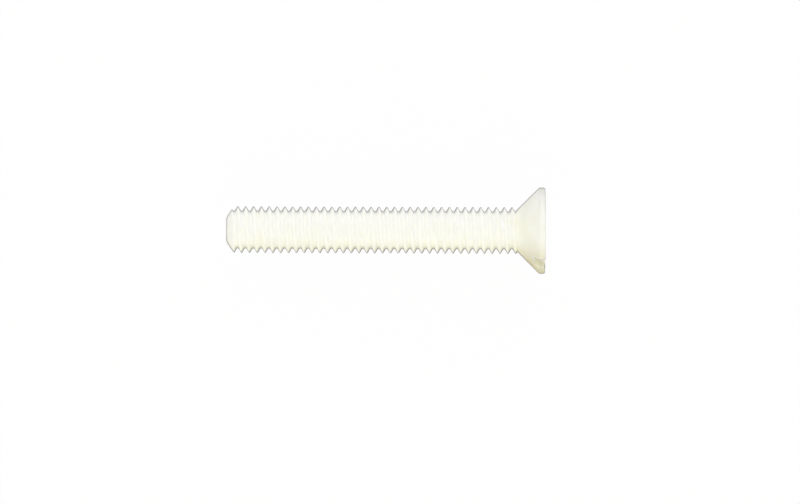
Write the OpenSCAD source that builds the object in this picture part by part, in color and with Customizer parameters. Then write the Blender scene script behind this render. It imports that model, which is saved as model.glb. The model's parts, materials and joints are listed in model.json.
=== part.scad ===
// Machine screw with a slotted countersunk head, moulded in one piece. Sizes are in millimetres.
// It lies as it comes to rest, on the rim of its head and on the last full crest of its thread.
// +Z is up, the head points along +X, and the origin is on the surface under the middle of the screw.

/* [Shank] */
// Overall length, from the face of the head to the tip
screw_l = 40.7; // [30:0.1:60]
// Diameter over the crests of the thread
thread_d = 5.9; // [5:0.1:7]
// Distance from one crest to the next
pitch = 1; // [0.8:0.05:1.25]

/* [Tip] */
// Diameter of the flat end, where the chamfer would meet it
tip_d = 3.2; // [2:0.1:4]
// Length of the chamfer that cuts the first threads down
tip_l = 0.96; // [0.6:0.02:1.5]
// Rounding between the flat end and the chamfer
tip_r = 0.3; // [0.1:0.05:0.5]

/* [Head] */
// Diameter of the rim
head_d = 11; // [9:0.1:13]
// Height of the straight rim
rim_h = 0.75; // [0.5:0.05:1.2]
// Rounding between the rim and the face
rim_r = 0.2; // [0.05:0.05:0.4]
// Angle of the countersunk cone, from side to side
cone_angle = 90; // [80:1:100]

/* [Driver slot] */
// Width of the slot
slot_w = 1.6; // [1:0.1:2.4]
// Depth of the slot, from the face
slot_h = 1.4; // [1:0.1:1.8]
// Turn of the slot about the screw, from upright towards -Y
slot_turn = 52; // [0:1:179]

/* [Hidden] */
$fn = 96;

head_r = head_d / 2;
crest_r = thread_d / 2;

// Metric thread form: 60 degrees between the flanks, crests cut to an eighth and roots filled to a quarter
// of the pitch. Each point is [radius, height] from the middle of a crest, from the root below to the root above.
crest_w = pitch / 8;
root_w = pitch / 4;
flank_w = (pitch - crest_w - root_w) / 2;
root_r = crest_r - flank_w / tan(30);
thread_form = [
    [root_r, -crest_w / 2 - flank_w],
    [crest_r, -crest_w / 2],
    [crest_r, crest_w / 2],
    [root_r, crest_w / 2 + flank_w],
];
form_n = len(thread_form);

// Steps in one turn of the thread, and turns that run on past the tip, to be cut off there
turn_steps = 24;
spare_turns = 3;
// Middle of the last full crest on the underside, from the tip: it ends just past the chamfer
rest_crest = tip_l + pitch / 10;
// The thread stops inside the cone, with its last root below the slot
thread_top = slot_h + pitch;
thread_steps = floor(turn_steps * ((screw_l - rest_crest - thread_top) / pitch + spare_turns));

// Lean of the axis when the rim and the last crest lie on the surface, and the height of the face's middle
lean = atan((head_r - crest_r) / (screw_l - rest_crest + crest_w / 2 - rim_h));
face_z = rim_h * sin(lean) + head_r * cos(lean);
// How far the head and the tip reach from the face's middle, along X
head_reach = (head_r - rim_r) * sin(lean) + rim_r * (1 - cos(lean));
tip_reach = screw_l * cos(lean) + tip_d / 2 * sin(lean);

// Points on an arc about [x, y], from one angle to another
arc_steps = 6;
function arc(x, y, r, from, to) = [
    for (i = [0:arc_steps])
        let (a = from + (to - from) * i / arc_steps)
            [x + r * cos(a), y + r * sin(a)]
];

// Height of the middle of the crest, a number of steps up the thread. The face of the head is at zero.
function crest_z(step) = rest_crest - screw_l + pitch * (step / turn_steps - spare_turns);

// Point of the thread form at a step of the right-hand helix
function thread_point(step, p) =
    let (turn = 360 * step / turn_steps)
        [p[0] * cos(turn), p[0] * sin(turn), crest_z(step) + p[1]];

// One skin that winds up the shank, and closes at both ends on a point of the axis
module threaded_rod() {
    low = form_n * (thread_steps + 1);
    high = low + 1;
    last_turn = thread_steps - turn_steps;
    points = [
        for (step = [0:thread_steps]) for (p = thread_form) thread_point(step, p),
        [0, 0, crest_z(turn_steps / 2) - pitch / 2],
        [0, 0, crest_z(thread_steps - turn_steps / 2) + pitch / 2],
    ];
    // The root above a crest meets the first point of the form one turn further up
    function at(step, i) = i < form_n ? form_n * step + i : form_n * (step + turn_steps);
    flanks_and_crests = [
        for (step = [0:thread_steps - 1]) for (i = [0:form_n - 2])
            [at(step, i), at(step, i + 1), at(step + 1, i + 1), at(step + 1, i)]
    ];
    roots = [
        for (step = [0:last_turn - 1])
            [at(step, form_n - 1), at(step, form_n), at(step + 1, form_n), at(step + 1, form_n - 1)]
    ];
    low_end = [
        for (step = [0:turn_steps - 1]) [low, at(step, 0), at(step + 1, 0)],
        for (i = [0:form_n - 1]) [low, at(0, i + 1), at(0, i)],
    ];
    high_end = [
        for (step = [last_turn:thread_steps - 1]) [high, at(step + 1, form_n - 1), at(step, form_n - 1)],
        [for (i = [0:form_n - 1]) at(thread_steps, i), high, at(last_turn, form_n - 1)],
    ];
    polyhedron(points, concat(flanks_and_crests, roots, low_end, high_end));
}

// The threaded shank, with its tip cut flat and chamfered
module shank() {
    slope = atan((crest_r - tip_d / 2) / tip_l);
    round_x = tip_d / 2 - tip_r * tan(45 - slope / 2);
    clear_r = crest_r + pitch;
    intersection() {
        threaded_rod();
        rotate_extrude()
            polygon([
                [0, -screw_l],
                each arc(round_x, tip_r - screw_l, tip_r, -90, -slope),
                [clear_r, tip_l - screw_l + pitch / tan(slope)],
                [clear_r, 0],
                [0, 0],
            ]);
    }
}

// The countersunk head, whose cone runs on inside the shank
module head() {
    end_r = root_r / 2;
    end_h = rim_h + (head_r - end_r) / tan(cone_angle / 2);
    rotate_extrude()
        polygon([
            [0, -end_h],
            [end_r, -end_h],
            [head_r, -rim_h],
            each arc(head_r - rim_r, -rim_r, rim_r, 0, 90),
            [0, 0],
        ]);
}

// The driver slot, cut right across the face
module slot() {
    rotate([0, 0, 180 + slot_turn])
        cube([2 * head_d, slot_w, 2 * slot_h], center = true);
}

module screw() {
    color("ivory")
        translate([(tip_reach - head_reach) / 2, 0, face_z])
            rotate([0, 90 - lean, 0])
                difference() {
                    union() {
                        shank();
                        head();
                    }
                    slot();
                }
}

screw();
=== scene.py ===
import json
import math

import bmesh
import bpy
from mathutils import Matrix, Vector


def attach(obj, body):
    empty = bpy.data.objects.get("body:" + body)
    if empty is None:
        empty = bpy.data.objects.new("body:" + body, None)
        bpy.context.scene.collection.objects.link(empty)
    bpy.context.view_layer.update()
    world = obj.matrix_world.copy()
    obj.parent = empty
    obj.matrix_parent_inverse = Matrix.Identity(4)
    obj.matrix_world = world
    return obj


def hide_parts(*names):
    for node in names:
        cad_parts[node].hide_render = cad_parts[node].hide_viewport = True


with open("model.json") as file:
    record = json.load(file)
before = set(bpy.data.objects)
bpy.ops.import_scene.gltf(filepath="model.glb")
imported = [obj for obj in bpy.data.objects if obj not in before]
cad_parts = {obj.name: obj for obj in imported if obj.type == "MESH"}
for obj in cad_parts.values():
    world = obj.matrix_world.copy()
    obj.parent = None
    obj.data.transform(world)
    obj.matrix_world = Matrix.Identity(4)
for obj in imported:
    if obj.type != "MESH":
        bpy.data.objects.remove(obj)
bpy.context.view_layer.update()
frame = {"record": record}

# Camera
# It looks down on the lying screw, square to the screw's axis and with the tip at the left, from so far
# away that both ends are seen edge on. Pixels are those of the photograph, in its 800 by 504 frame.
MM = 0.001
photo_w = 800
photo_h = 504
px_per_mm = 7.832
axis_middle_px = (385.75, 230.1)
camera_roll = math.radians(0.2)
camera_distance = 1000 * MM

mounts = {mount["name"]: mount for mount in frame["record"]["mounts"]}
face_middle = Vector(mounts["driver_slot"]["pos_m"])
to_head = Vector(mounts["driver_slot"]["axis"]).normalized()
to_side = Vector((0, 1, 0))
to_underside = to_side.cross(to_head)
screw_l = 40.7 * MM

picture_right = to_head * math.cos(camera_roll) + to_side * math.sin(camera_roll)
picture_up = to_side * math.cos(camera_roll) - to_head * math.sin(camera_roll)
metres_per_px = MM / px_per_mm
aim = face_middle - to_head * screw_l / 2
aim += picture_right * (photo_w / 2 - axis_middle_px[0]) * metres_per_px
aim -= picture_up * (photo_h / 2 - axis_middle_px[1]) * metres_per_px

camera_data = bpy.data.cameras.new("camera")
camera_data.lens = camera_data.sensor_width * camera_distance / (photo_w * metres_per_px)
camera_data.clip_start = 0.1 * camera_distance
camera_data.clip_end = 100 * camera_distance
camera = bpy.data.objects.new("camera", camera_data)
camera.matrix_world = (
    Matrix.Translation(aim - to_underside * camera_distance)
    @ Matrix((picture_right, picture_up, -to_underside)).transposed().to_4x4()
)
bpy.context.scene.collection.objects.link(camera)
bpy.context.scene.camera = camera

# Screw
# One piece of natural nylon, injection moulded: countersunk head, driver slot, shank and right-hand
# thread, which runs from the chamfered tip into the cone. A fine parting line runs along either side.
# It is made upright, with the middle of its face at zero, and laid down at the end.
head_r = 5.5 * MM
rim_h = 0.75 * MM
crest_r = 2.95 * MM
root_r = 2.36 * MM
pitch = 1 * MM
flank_angle = math.radians(60)
tip_r = 1.6 * MM
tip_l = 0.96 * MM
slot_w = 1.6 * MM
slot_h = 1.4 * MM
slot_turn = math.radians(52)
slot_lip_r = 0.05 * MM
slot_floor_r = 0.15 * MM
sharp_angle = math.radians(50)
lying = Matrix((to_underside, to_side, to_head)).transposed()


def feed(socket, term):
    """Link a socket to another node's output, or set its own value."""
    if isinstance(term, bpy.types.NodeSocket):
        socket.id_data.links.new(term, socket)
    else:
        socket.default_value = term


def add_node(tree, kind, **feeds):
    """A node with its inputs fed by name, where an underscore stands for a space."""
    node = tree.nodes.new(kind)
    for name, term in feeds.items():
        feed(node.inputs[name.replace("_", " ")], term)
    return node


def add_math(tree, operation, *terms):
    """The value of a Math node with its terms fed in order."""
    node = tree.nodes.new("ShaderNodeMath")
    node.operation = operation
    for socket, term in zip(node.inputs, terms):
        feed(socket, term)
    return node.outputs["Value"]


def add_mix(tree, share, low, high):
    """The colour of a Mix node, which goes from the low one to the high one with the share."""
    node = tree.nodes.new("ShaderNodeMix")
    node.data_type = "RGBA"
    for name, term in (("Factor", share), ("A", low), ("B", high)):
        feed(node.inputs[name], term)
    return node.outputs["Result"]


def winding_tree(sizes, counts):
    """The screw as one strip, a pitch wide, wound from the middle of the tip to the middle of the face."""
    tree = bpy.data.node_groups.new("wound_screw", "GeometryNodeTree")
    interface = tree.interface
    for name in sizes:
        interface.new_socket(name, in_out="INPUT", socket_type="NodeSocketFloat")
    for name in counts:
        interface.new_socket(name, in_out="INPUT", socket_type="NodeSocketInt")
    interface.new_socket("Finish", in_out="INPUT", socket_type="NodeSocketMaterial")
    interface.new_socket("Geometry", in_out="OUTPUT", socket_type="NodeSocketGeometry")
    given = tree.nodes.new("NodeGroupInput").outputs

    def make(kind, **feeds):
        return add_node(tree, kind, **feeds)

    def calc(operation, *terms):
        return add_math(tree, operation, *terms)

    # The flat strip: along it the turns, across it the rows from one root to the next
    turns = given["Turns"]
    strip = make(
        "GeometryNodeMeshGrid",
        Vertices_X=calc("MULTIPLY_ADD", turns, given["Steps a Turn"], 1),
        Vertices_Y=calc("ADD", given["Rows a Turn"], 1),
    )
    place = make("ShaderNodeSeparateXYZ", Vector=strip.outputs["UV Map"]).outputs
    # Steps crowd together at the two parting lines, a quarter turn either side of the underside
    step = calc("MULTIPLY", place["X"], turns)
    wave = calc("SINE", calc("MULTIPLY", calc("SUBTRACT", step, 0.25), 4 * math.pi))
    turned = calc("SUBTRACT", step, calc("MULTIPLY", wave, given["Crowding"]))
    angle = calc("MULTIPLY", turned, 2 * math.pi)
    off_crest = calc("MULTIPLY", calc("SUBTRACT", place["Y"], 0.5), given["Pitch"])
    height = calc("MULTIPLY_ADD", turned, given["Pitch"], off_crest)
    above_tip = calc("ADD", height, given["First Crest"])
    below_face = calc("SUBTRACT", given["Length"], above_tip)

    # Radius: the thread, run into the cone and rim, and cut by the chamfer of the tip and by the face
    past_crest = calc("SUBTRACT", calc("ABSOLUTE", off_crest), calc("DIVIDE", given["Crest Width"], 2))
    thread = calc("SUBTRACT", given["Crest Radius"], calc("MULTIPLY", past_crest, given["Flank Slope"]))
    thread = calc("SMOOTH_MIN", thread, given["Crest Radius"], given["Crest Softness"])
    thread = calc("SMOOTH_MAX", thread, given["Root Radius"], given["Root Softness"])
    off_parting = calc("ABSOLUTE", calc("MULTIPLY", thread, calc("COSINE", angle)))
    flash = calc("SUBTRACT", 1, calc("DIVIDE", off_parting, given["Flash Width"]))
    thread = calc("MULTIPLY_ADD", calc("MAXIMUM", flash, 0), given["Flash Height"], thread)
    cone = calc("SUBTRACT", calc("ADD", given["Head Radius"], given["Rim Height"]), below_face)
    radius = calc("SMOOTH_MAX", thread, cone, given["Neck Softness"])
    radius = calc("SMOOTH_MIN", radius, given["Head Radius"], given["Rim Softness"])
    chamfer = calc("MULTIPLY_ADD", above_tip, given["Tip Slope"], given["Tip Radius"])
    radius = calc("SMOOTH_MIN", radius, chamfer, given["Crest Softness"])
    closing = calc("ADD", given["Head Radius"], below_face)
    radius = calc("SMOOTH_MIN", radius, closing, given["Edge Softness"])
    radius = calc("MAXIMUM", radius, 0)

    # Height: level past the tip and past the face, so that the strip closes to a point at both ends
    along = calc("SMOOTH_MAX", above_tip, 0, given["Tip Softness"])
    along = calc("SMOOTH_MAX", calc("SUBTRACT", given["Length"], along), 0, given["Edge Softness"])
    wound = make(
        "GeometryNodeSetPosition",
        Geometry=strip.outputs["Mesh"],
        Position=make(
            "ShaderNodeCombineXYZ",
            X=calc("MULTIPLY", radius, calc("COSINE", angle)),
            Y=calc("MULTIPLY", radius, calc("SINE", angle)),
            Z=calc("MULTIPLY", along, -1),
        ).outputs["Vector"],
    )
    closed = make("GeometryNodeMergeByDistance", Geometry=wound.outputs["Geometry"], Distance=given["Weld"])
    smooth = make("GeometryNodeSetShadeSmooth", Geometry=closed.outputs["Geometry"])
    real = make("GeometryNodeRealizeInstances", Geometry=smooth.outputs["Geometry"])
    coated = make("GeometryNodeSetMaterial", Geometry=real.outputs["Geometry"], Material=given["Finish"])
    made = tree.nodes.new("NodeGroupOutput")
    tree.links.new(coated.outputs["Geometry"], made.inputs["Geometry"])
    return tree


def slot_cutter(half_w, depth, lip_r, floor_r):
    """The blade that leaves the slot: rounded along its floor, and flared to round the slot's lips."""

    def arc(x, z, r, start, end, steps=6):
        for i in range(steps + 1):
            a = math.radians(start + (end - start) * i / steps)
            yield x + r * math.cos(a), z + r * math.sin(a)

    # The lips' arcs run out just above the face, so that the blade cuts the face cleanly
    lip_sink = 0.96 * lip_r
    side = [
        *arc(half_w - floor_r, floor_r - depth, floor_r, -90, 0),
        *arc(half_w + lip_r, -lip_sink, lip_r, 180, 90),
        (half_w + lip_r, depth),
    ]
    outline = side + [(-x, z) for x, z in reversed(side)]
    mesh = bmesh.new()
    ends = [[mesh.verts.new((y, x, z)) for x, z in outline] for y in (-2 * head_r, 2 * head_r)]
    for i in range(len(outline)):
        mesh.faces.new((ends[0][i - 1], ends[0][i], ends[1][i], ends[1][i - 1])).smooth = True
    mesh.faces.new(ends[0])
    mesh.faces.new(ends[1])
    bmesh.ops.recalc_face_normals(mesh, faces=mesh.faces)
    mesh.transform(Matrix.Rotation(math.pi + slot_turn, 4, "Z"))
    data = bpy.data.meshes.new("slot_cutter")
    mesh.to_mesh(data)
    mesh.free()
    return bpy.data.objects.new("slot_cutter", data)


def nylon():
    """Natural nylon under a clear coat that darkens the flatter it is looked through, laid on as painted
    shade.
    """
    shade_coat_tint = (0.85, 0.85, 0.85, 1)
    milky_ivory = (0.965, 0.975, 0.93, 1)
    shade_and_mottle_yellow = (0.68, 0.625, 0.42, 1)
    slot_shadow_grey = (0.38, 0.37, 0.33, 1)
    wave_h = 0.008 * MM
    grain_h = 0.0012 * MM

    material = bpy.data.materials.new("natural_nylon")
    material.use_nodes = True
    tree = material.node_tree
    shader = tree.nodes["Principled BSDF"]
    shader.inputs["IOR"].default_value = 1.53
    shader.inputs["Subsurface Weight"].default_value = 1
    shader.inputs["Subsurface Radius"].default_value = (1.0, 1.0, 0.9)
    shader.inputs["Subsurface Scale"].default_value = 4 * MM
    shader.inputs["Coat Roughness"].default_value = 0.4
    shader.inputs["Coat IOR"].default_value = 1.0
    shader.inputs["Coat Tint"].default_value = shade_coat_tint

    # The screw's own millimetres: X to its underside, Y to its far side and Z to its head, from the face
    own = add_node(
        tree,
        "ShaderNodeMapping",
        Vector=tree.nodes.new("ShaderNodeTexCoord").outputs["Object"],
        Location=face_middle,
        Rotation=lying.to_euler(),
        Scale=(MM, MM, MM),
    )
    own.vector_type = "TEXTURE"
    own = own.outputs["Vector"]
    place = add_node(tree, "ShaderNodeSeparateXYZ", Vector=own).outputs

    def calc(operation, *terms):
        return add_math(tree, operation, *terms)

    def ramp(value, low, high, to_low=0, to_high=1):
        """Eases from one result to the other as the value goes from low to high."""
        node = add_node(
            tree,
            "ShaderNodeMapRange",
            Value=value,
            From_Min=low,
            From_Max=high,
            To_Min=to_low,
            To_Max=to_high,
        )
        node.interpolation_type = "SMOOTHSTEP"
        return node.outputs["Result"]

    def noise(per_mm, detail=2):
        """Cloudy noise from 0 to 1, with about so many clouds in a millimetre."""
        texture = add_node(tree, "ShaderNodeTexNoise", Vector=own, Scale=per_mm, Detail=detail)
        return texture.outputs["Fac"]

    # Where things stand: heights from the face, and distances from the axis and from the slot's middle
    rim_foot = -rim_h / MM
    neck = rim_foot - (head_r - crest_r) / MM
    slot_floor = -slot_h / MM
    tip_end = -screw_l / MM
    rim_out = head_r / MM
    tip_out = tip_r / MM
    slot_wall = slot_w / 2 / MM
    radius = calc("SQRT", calc("ADD", calc("POWER", place["X"], 2), calc("POWER", place["Y"], 2)))
    x_across = calc("MULTIPLY", place["X"], -math.sin(slot_turn))
    across = calc("MULTIPLY_ADD", place["Y"], math.cos(slot_turn), x_across)
    off_slot = calc("ABSOLUTE", across)
    in_slot = calc(
        "MULTIPLY",
        ramp(off_slot, slot_wall + 0.25, slot_wall + 0.05),
        ramp(place["Z"], slot_floor - 0.2, slot_floor),
    )

    # Painted shade through the coat, which darkens the flatter it is looked through: thin on the shank and
    # the face, thicker on the head and towards the rim's sides to paint their shading, and thickest along
    # the two parting lines at the sides of the lying screw, round the end of the tip and on the slot's
    # lips, to paint dark outlines there and shade in the slot
    # Painted outline shade on the head, and painted shading towards the rim's sides
    head_outline_shade = ramp(place["Z"], neck - 1.2, neck + 0.8, 0, 0.4)
    rim_side_shade_mask = ramp(calc("ABSOLUTE", place["Y"]), 1, 3.5)
    rim_side_shade = calc("MULTIPLY", rim_side_shade_mask, ramp(place["Z"], rim_foot - 0.25, rim_foot + 0.05, 0, 0.36))
    # Painted dark outline at the sides of the lying screw, where the parting lines run
    side_outline_shade = ramp(calc("ABSOLUTE", place["X"]), 0.2, 1.7, 1, 0.19)
    # Painted dark outline round the end of the tip
    tip_outline_shade = calc(
        "MULTIPLY",
        ramp(place["Z"], tip_end + 0.25, tip_end + 0.05),
        ramp(radius, tip_out - 0.8, tip_out - 0.2),
    )
    # Painted shade on the slot's walls towards the face
    slot_lip_shade = calc("MULTIPLY", in_slot, ramp(place["Z"], slot_floor + 0.1, slot_floor + 0.9))
    coat_shade = calc("ADD", rim_side_shade, head_outline_shade)
    for thicker in (side_outline_shade, tip_outline_shade, slot_lip_shade):
        coat_shade = calc("MAXIMUM", coat_shade, thicker)
    off_face = calc(
        "MAXIMUM",
        ramp(place["Z"], -0.1, -0.3, 0.2),
        ramp(radius, rim_out - 0.9, rim_out - 0.2),
    )
    feed(shader.inputs["Coat Weight"], calc("MULTIPLY", coat_shade, off_face))

    # Colour: milky ivory, with painted shade yellower and darker towards the near side, more so in the
    # head, which is also a little yellower throughout; less so in the slot and on the face; and faintly
    # mottled
    # Painted shade: the near side yellower and darker
    near_side_yellow_shade = ramp(place["Y"], -0.6, -3, 0, 0.32)
    head_yellow_and_near_shade = ramp(place["Y"], -2, -4.6, 0.13, 0.75)
    in_head = ramp(place["Z"], neck - 2.2, neck + 0.3)
    yellow_shade_and_mottle = calc("MULTIPLY_ADD", in_head, head_yellow_and_near_shade, near_side_yellow_shade)
    yellow_shade_and_mottle = calc("MULTIPLY", yellow_shade_and_mottle, calc("MULTIPLY_ADD", in_slot, -0.35, 1))
    yellow_shade_and_mottle = calc("MULTIPLY", yellow_shade_and_mottle, ramp(place["Z"], 0, -0.15, 0.4))
    yellow_shade_and_mottle = calc("ADD", yellow_shade_and_mottle, ramp(noise(0.5, 4), 0.35, 0.65, -0.04, 0.06))
    colour = add_mix(tree, yellow_shade_and_mottle, milky_ivory, shade_and_mottle_yellow)

    # Painted shadow: fine dark lines along the slot's edges, towards its ends: both at the face, one on the
    # rim's side
    rim_side_slot_shadow = calc("MULTIPLY", ramp(radius, rim_out - 0.25, rim_out - 0.1), ramp(across, 0, 0.1))
    slot_shadow_lines = calc("MAXIMUM", ramp(place["Z"], -0.2, -0.1), rim_side_slot_shadow)
    off_wall = calc("ABSOLUTE", calc("SUBTRACT", off_slot, slot_wall + 0.02))
    slot_shadow_lines = calc("MULTIPLY", slot_shadow_lines, ramp(off_wall, 0.21, 0.13))
    slot_shadow_lines = calc("MULTIPLY", slot_shadow_lines, ramp(radius, 4.2, 5))
    feed(shader.inputs["Base Color"], add_mix(tree, slot_shadow_lines, colour, slot_shadow_grey))

    # Surface: satin with duller patches, low waves from shrinking in the mould, and a fine grain
    feed(shader.inputs["Roughness"], ramp(noise(1.5), 0.3, 0.7, 0.36, 0.5))
    waves = add_node(tree, "ShaderNodeBump", Height=noise(1.2), Distance=wave_h).outputs["Normal"]
    grain = add_node(tree, "ShaderNodeBump", Height=noise(14), Distance=grain_h, Normal=waves)
    feed(shader.inputs["Normal"], grain.outputs["Normal"])
    return material


# The winding starts below the tip, where it is closed to a point, and its first crest sets the phase of
# the thread. Crowding draws the steps together at the parting lines, to a quarter of their even width.
winding_sizes = {
    "Length": screw_l,
    "Pitch": pitch,
    "First Crest": -2.79 * MM,
    "Crest Width": pitch / 8,
    "Crest Radius": crest_r,
    "Root Radius": root_r,
    "Flank Slope": math.tan(flank_angle),
    "Crest Softness": 0.1 * MM,
    "Root Softness": 0.25 * MM,
    "Tip Radius": tip_r,
    "Tip Slope": (crest_r - tip_r) / tip_l,
    "Tip Softness": 0.35 * MM,
    "Neck Softness": 0.15 * MM,
    "Head Radius": head_r,
    "Rim Height": rim_h,
    "Rim Softness": 0.12 * MM,
    "Edge Softness": 0.35 * MM,
    "Flash Width": 0.08 * MM,
    "Flash Height": 0.025 * MM,
    "Crowding": 0.75 / (4 * math.pi),
    "Weld": 0.001 * MM,
}
winding_counts = {"Turns": 50, "Steps a Turn": 96, "Rows a Turn": 16}

finish = nylon()
screw = bpy.data.objects.new("machine_screw", bpy.data.meshes.new("blank"))
bpy.context.scene.collection.objects.link(screw)
winding = screw.modifiers.new("winding", "NODES")
winding.node_group = winding_tree(winding_sizes, winding_counts)
given_values = {**winding_sizes, **winding_counts, "Finish": finish}
for socket in winding.node_group.interface.items_tree:
    if socket.in_out == "INPUT":
        winding[socket.identifier] = given_values[socket.name]

cutter = slot_cutter(slot_w / 2, slot_h, slot_lip_r, slot_floor_r)
bpy.context.scene.collection.objects.link(cutter)
cut = screw.modifiers.new("slot", "BOOLEAN")
cut.object = cutter
cut.operation = "DIFFERENCE"
cut.solver = "MANIFOLD"

screw_mesh = bpy.data.meshes.new_from_object(screw.evaluated_get(bpy.context.evaluated_depsgraph_get()))
screw.modifiers.clear()
bpy.data.objects.remove(cutter)
screw_mesh.materials.clear()
screw_mesh.materials.append(finish)
screw_mesh.transform(Matrix.Translation(face_middle) @ lying.to_4x4())
screw_mesh.set_sharp_from_angle(angle=sharp_angle)
screw.data = screw_mesh
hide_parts("screw")
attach(screw, "root")

# Floor
# A plain pale sheet that the screw lies on. The camera, and what mirrors it, sees the sheet nearly white,
# with a faint shadow.
sheet_half = 5
sheet_whiteness = 0.97
floor_mesh = bpy.data.meshes.new("floor")
corners = [(x * sheet_half, y * sheet_half, 0) for x, y in ((-1, -1), (1, -1), (1, 1), (-1, 1))]
floor_mesh.from_pydata(corners, [], [(0, 1, 2, 3)])
floor = bpy.data.objects.new("floor", floor_mesh)
bpy.context.scene.collection.objects.link(floor)


def seen_directly(tree):
    """1 for what the camera sees, itself or in the object's gloss or through it, and 0 for other light."""
    path = tree.nodes.new("ShaderNodeLightPath").outputs
    mirrored = add_math(tree, "MAXIMUM", path["Is Glossy Ray"], path["Is Transmission Ray"])
    return add_math(tree, "MAXIMUM", path["Is Camera Ray"], mirrored)


def end_in_blend(tree, end, share, low, high):
    """End the tree in a blend of two shaders, with more of the high one the more the share is."""
    blend = tree.nodes.new("ShaderNodeMixShader")
    for socket, term in zip(blend.inputs, (share, low, high)):
        feed(socket, term)
    feed(tree.nodes[end].inputs["Surface"], blend.outputs["Shader"])


paper = bpy.data.materials.new("pale_sheet")
paper.use_nodes = True
tree = paper.node_tree
plain = tree.nodes["Principled BSDF"]
plain.inputs["Base Color"].default_value = (0.8, 0.8, 0.8, 1)
plain.inputs["Roughness"].default_value = 0.9
plain.inputs["Specular IOR Level"].default_value = 0.1
white = tree.nodes.new("ShaderNodeEmission")
shown_white = add_math(tree, "MULTIPLY", seen_directly(tree), sheet_whiteness)
end_in_blend(tree, "Material Output", shown_white, plain.outputs["BSDF"], white.outputs["Emission"])
floor_mesh.materials.append(paper)

# Light
# Soft studio light from all round, a little warmer from the near side, and a large soft lamp at either
# side. Seen directly, the room is plain white.
far_light = (1.0, 1.0, 1.0, 1)
near_light = (1.0, 0.985, 0.79, 1)
room_strength = 0.87
world = bpy.data.worlds.new("studio")
world.use_nodes = True
bpy.context.scene.world = world
tree = world.node_tree
outlook = tree.nodes.new("ShaderNodeTexCoord").outputs["Generated"]
bearing = add_node(tree, "ShaderNodeSeparateXYZ", Vector=outlook)
farness = add_node(tree, "ShaderNodeMapRange", Value=bearing.outputs["Y"], From_Min=-1.0)
room = tree.nodes["Background"]
room.inputs["Strength"].default_value = room_strength
feed(room.inputs["Color"], add_mix(tree, farness.outputs["Result"], near_light, far_light))
backdrop = add_node(tree, "ShaderNodeBackground", Color=(1, 1, 1, 1))
end_in_blend(
    tree,
    "World Output",
    seen_directly(tree),
    room.outputs["Background"],
    backdrop.outputs["Background"],
)

lamp_distance = 0.8
for name, lean, power in (("far_lamp", 75, 3.0), ("near_lamp", -75, 3.2)):
    lamp_data = bpy.data.lights.new(name, "AREA")
    lamp_data.size = lamp_distance
    lamp_data.energy = power
    lamp = bpy.data.objects.new(name, lamp_data)
    lamp.matrix_world = (
        Matrix.Rotation(math.radians(-lean), 4, "X") @ Matrix.Translation((0, 0, lamp_distance))
    )
    lamp.visible_camera = False
    bpy.context.scene.collection.objects.link(lamp)

bpy.context.scene.view_settings.view_transform = "Standard"
